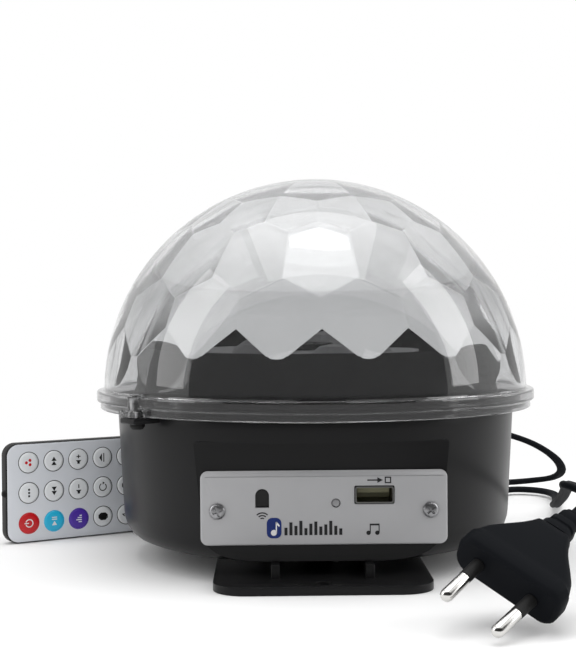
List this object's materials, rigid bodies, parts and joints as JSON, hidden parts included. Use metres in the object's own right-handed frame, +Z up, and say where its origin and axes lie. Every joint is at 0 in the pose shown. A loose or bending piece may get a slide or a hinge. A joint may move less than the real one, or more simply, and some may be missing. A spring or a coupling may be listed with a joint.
{
  "type": "led disco ball light",
  "caption": "Clear faceted dome on a black drum housing with a turning lens disc in a black light well, a front control plate with a data socket, a foot plate, a mains lead with plug and a card remote.",
  "frame": {"origin": "on the lamp's axis, at the underside of the foot plate", "axes": "+Z up along the lamp's axis, -Y out of the control plate, +X to the right seen from the front"},
  "size_m": [0.2525, 0.3121, 0.1429],
  "materials": {
    "clear": "clear moulded plastic",
    "black_plastic": "satin",
    "grey_plastic": "satin painted",
    "white_plastic": "satin",
    "steel": "plated",
    "copper": "wound wire and tape",
    "green_board": "solder mask",
    "paper": "pressed paper",
    "black_rubber": "satin",
    "silver_film": "printed film"
  },
  "bodies": {
    "base": {"dome": "clear", "dome_screw_1": "black_plastic", "dome_screw_2": "black_plastic", "housing": "black_plastic", "control_panel": "grey_plastic", "panel_screw_left": "steel", "panel_screw_right": "steel", "usb_shell": "steel", "usb_tongue": "black_plastic", "ir_receiver": "black_plastic", "status_led": "white_plastic", "deck_plate": "black_plastic", "heat_spreader": "steel", "led_board": "white_plastic", "led_package_1": "white_plastic", "led_package_2": "white_plastic", "led_package_3": "white_plastic", "led_package_4": "white_plastic", "led_package_5": "white_plastic", "led_package_6": "white_plastic", "led_collimators": "clear", "motor_body": "steel", "motor_screw_left": "steel", "motor_screw_right": "steel", "power_board": "green_board", "transformer": "copper", "capacitor": "black_plastic", "player_board": "green_board", "player_chip": "black_plastic", "speaker_frame": "black_plastic", "speaker_cone": "paper", "speaker_magnet": "steel", "speaker_screw_left": "steel", "speaker_screw_right": "steel", "foot_bracket": "black_plastic", "foot_screw_front": "steel", "foot_screw_back": "steel", "cord_gland": "black_rubber", "cord_lead": "black_rubber", "cord_coil": "black_rubber", "cord_tail": "black_rubber", "coil_tie": "black_plastic", "plug_body": "black_rubber", "plug_relief": "black_rubber", "pin_sleeve_upper": "black_plastic", "pin_sleeve_lower": "black_plastic", "plug_pin_upper": "steel", "plug_pin_lower": "steel"},
    "rotor": {"rotor_disc": "black_plastic", "rotor_lenses": "clear", "rotor_hub": "white_plastic", "motor_shaft": "steel"},
    "remote": {"remote_case": "black_plastic", "remote_face": "silver_film", "remote_board": "green_board", "remote_emitter": "clear"},
    "battery_tray": {"remote_battery_tray": "black_plastic", "remote_battery": "steel"}
  },
  "joints": [
    {"name": "rotor_spin", "type": "hinge", "parent": "base", "child": "rotor", "pos_m": [0, 0, 0.074], "axis": [0, 0, 1], "continuous": true},
    {"name": "remote_away", "type": "slide", "parent": "base", "child": "remote", "axis": [-0.5, 0.866, 0], "range_m": [0, 0.12]},
    {"name": "battery_tray_slide", "type": "slide", "parent": "remote", "child": "battery_tray", "axis": [0.866, 0.5, 0], "range_m": [0, 0.026]}
  ]
}
